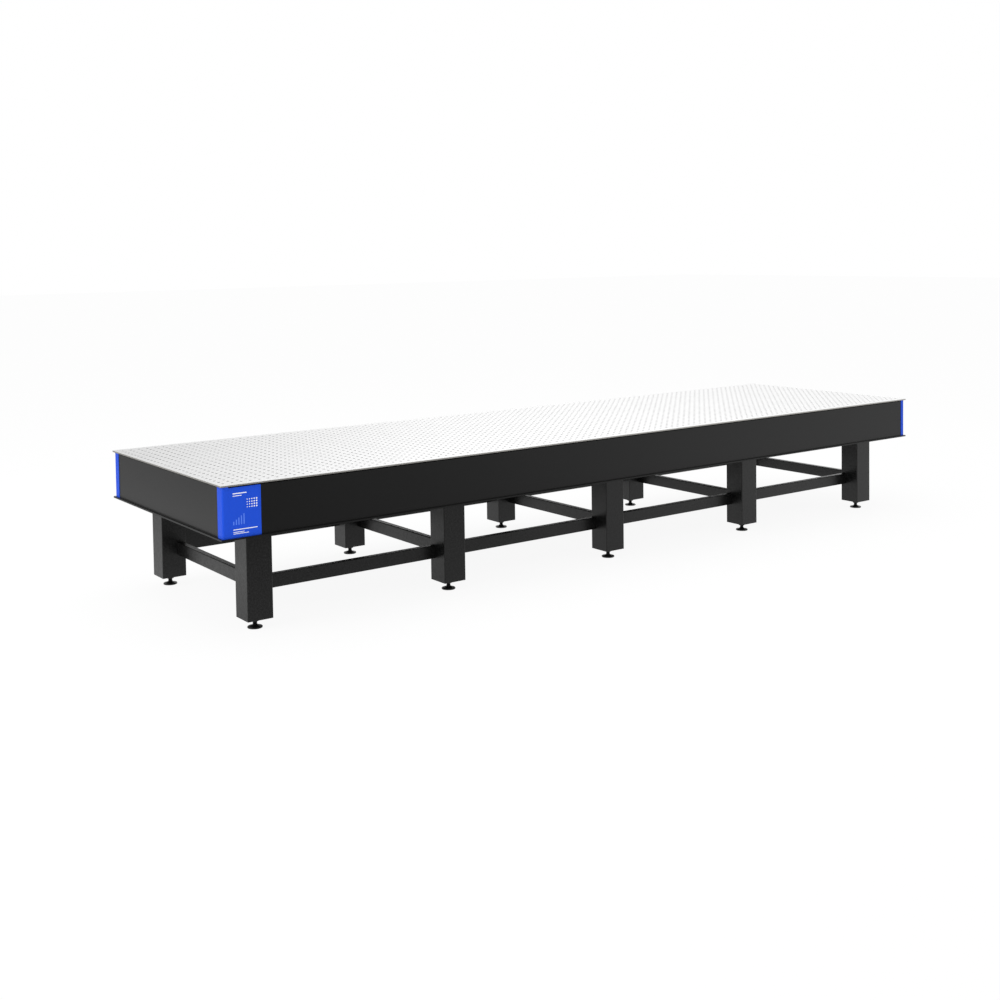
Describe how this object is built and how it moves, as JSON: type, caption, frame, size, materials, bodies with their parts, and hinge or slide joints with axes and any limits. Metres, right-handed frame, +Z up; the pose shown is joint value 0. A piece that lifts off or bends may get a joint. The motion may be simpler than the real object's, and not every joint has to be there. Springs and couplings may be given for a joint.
{
  "type": "optical table",
  "caption": "Long honeycomb optical table with a stainless hole-grid top and black sides, on a welded steel frame of legs and low rails with levelling feet.",
  "frame": {"origin": "on the floor, under the middle of the top", "axes": "+X along the table, +Y across it from the front to the back, +Z up"},
  "size_m": [5.48, 1.53, 0.8],
  "materials": {
    "stainless_skin": "satin, ground matt",
    "black_plate": "matt black paint",
    "honeycomb": "bare, closed inside the top",
    "black_panel": "smooth matt black paint",
    "blue_trim": "satin blue lacquer",
    "black_powder_coat": "textured black powder coat",
    "black_foot": "satin black"
  },
  "bodies": {
    "root": {"back_leg_1": "black_powder_coat", "back_leg_2": "black_powder_coat", "back_leg_3": "black_powder_coat", "back_leg_4": "black_powder_coat", "back_leg_5": "black_powder_coat", "back_levelling_foot_1": "black_foot", "back_levelling_foot_2": "black_foot", "back_levelling_foot_3": "black_foot", "back_levelling_foot_4": "black_foot", "back_levelling_foot_5": "black_foot", "back_long_rail_1": "black_powder_coat", "back_long_rail_2": "black_powder_coat", "back_long_rail_3": "black_powder_coat", "back_long_rail_4": "black_powder_coat", "back_side_panel": "black_panel", "bottom_plate": "black_plate", "corner_cover_back_left": "blue_trim", "corner_cover_back_right": "blue_trim", "corner_cover_front_left": "blue_trim", "corner_cover_front_right": "blue_trim", "cross_rail_1": "black_powder_coat", "cross_rail_2": "black_powder_coat", "cross_rail_3": "black_powder_coat", "cross_rail_4": "black_powder_coat", "cross_rail_5": "black_powder_coat", "front_leg_1": "black_powder_coat", "front_leg_2": "black_powder_coat", "front_leg_3": "black_powder_coat", "front_leg_4": "black_powder_coat", "front_leg_5": "black_powder_coat", "front_levelling_foot_1": "black_foot", "front_levelling_foot_2": "black_foot", "front_levelling_foot_3": "black_foot", "front_levelling_foot_4": "black_foot", "front_levelling_foot_5": "black_foot", "front_long_rail_1": "black_powder_coat", "front_long_rail_2": "black_powder_coat", "front_long_rail_3": "black_powder_coat", "front_long_rail_4": "black_powder_coat", "front_side_panel": "black_panel", "honeycomb_core": "honeycomb", "label_plate": "blue_trim", "left_end_panel": "black_panel", "right_end_panel": "black_panel", "top_skin": "stainless_skin"}
  },
  "joints": []
}
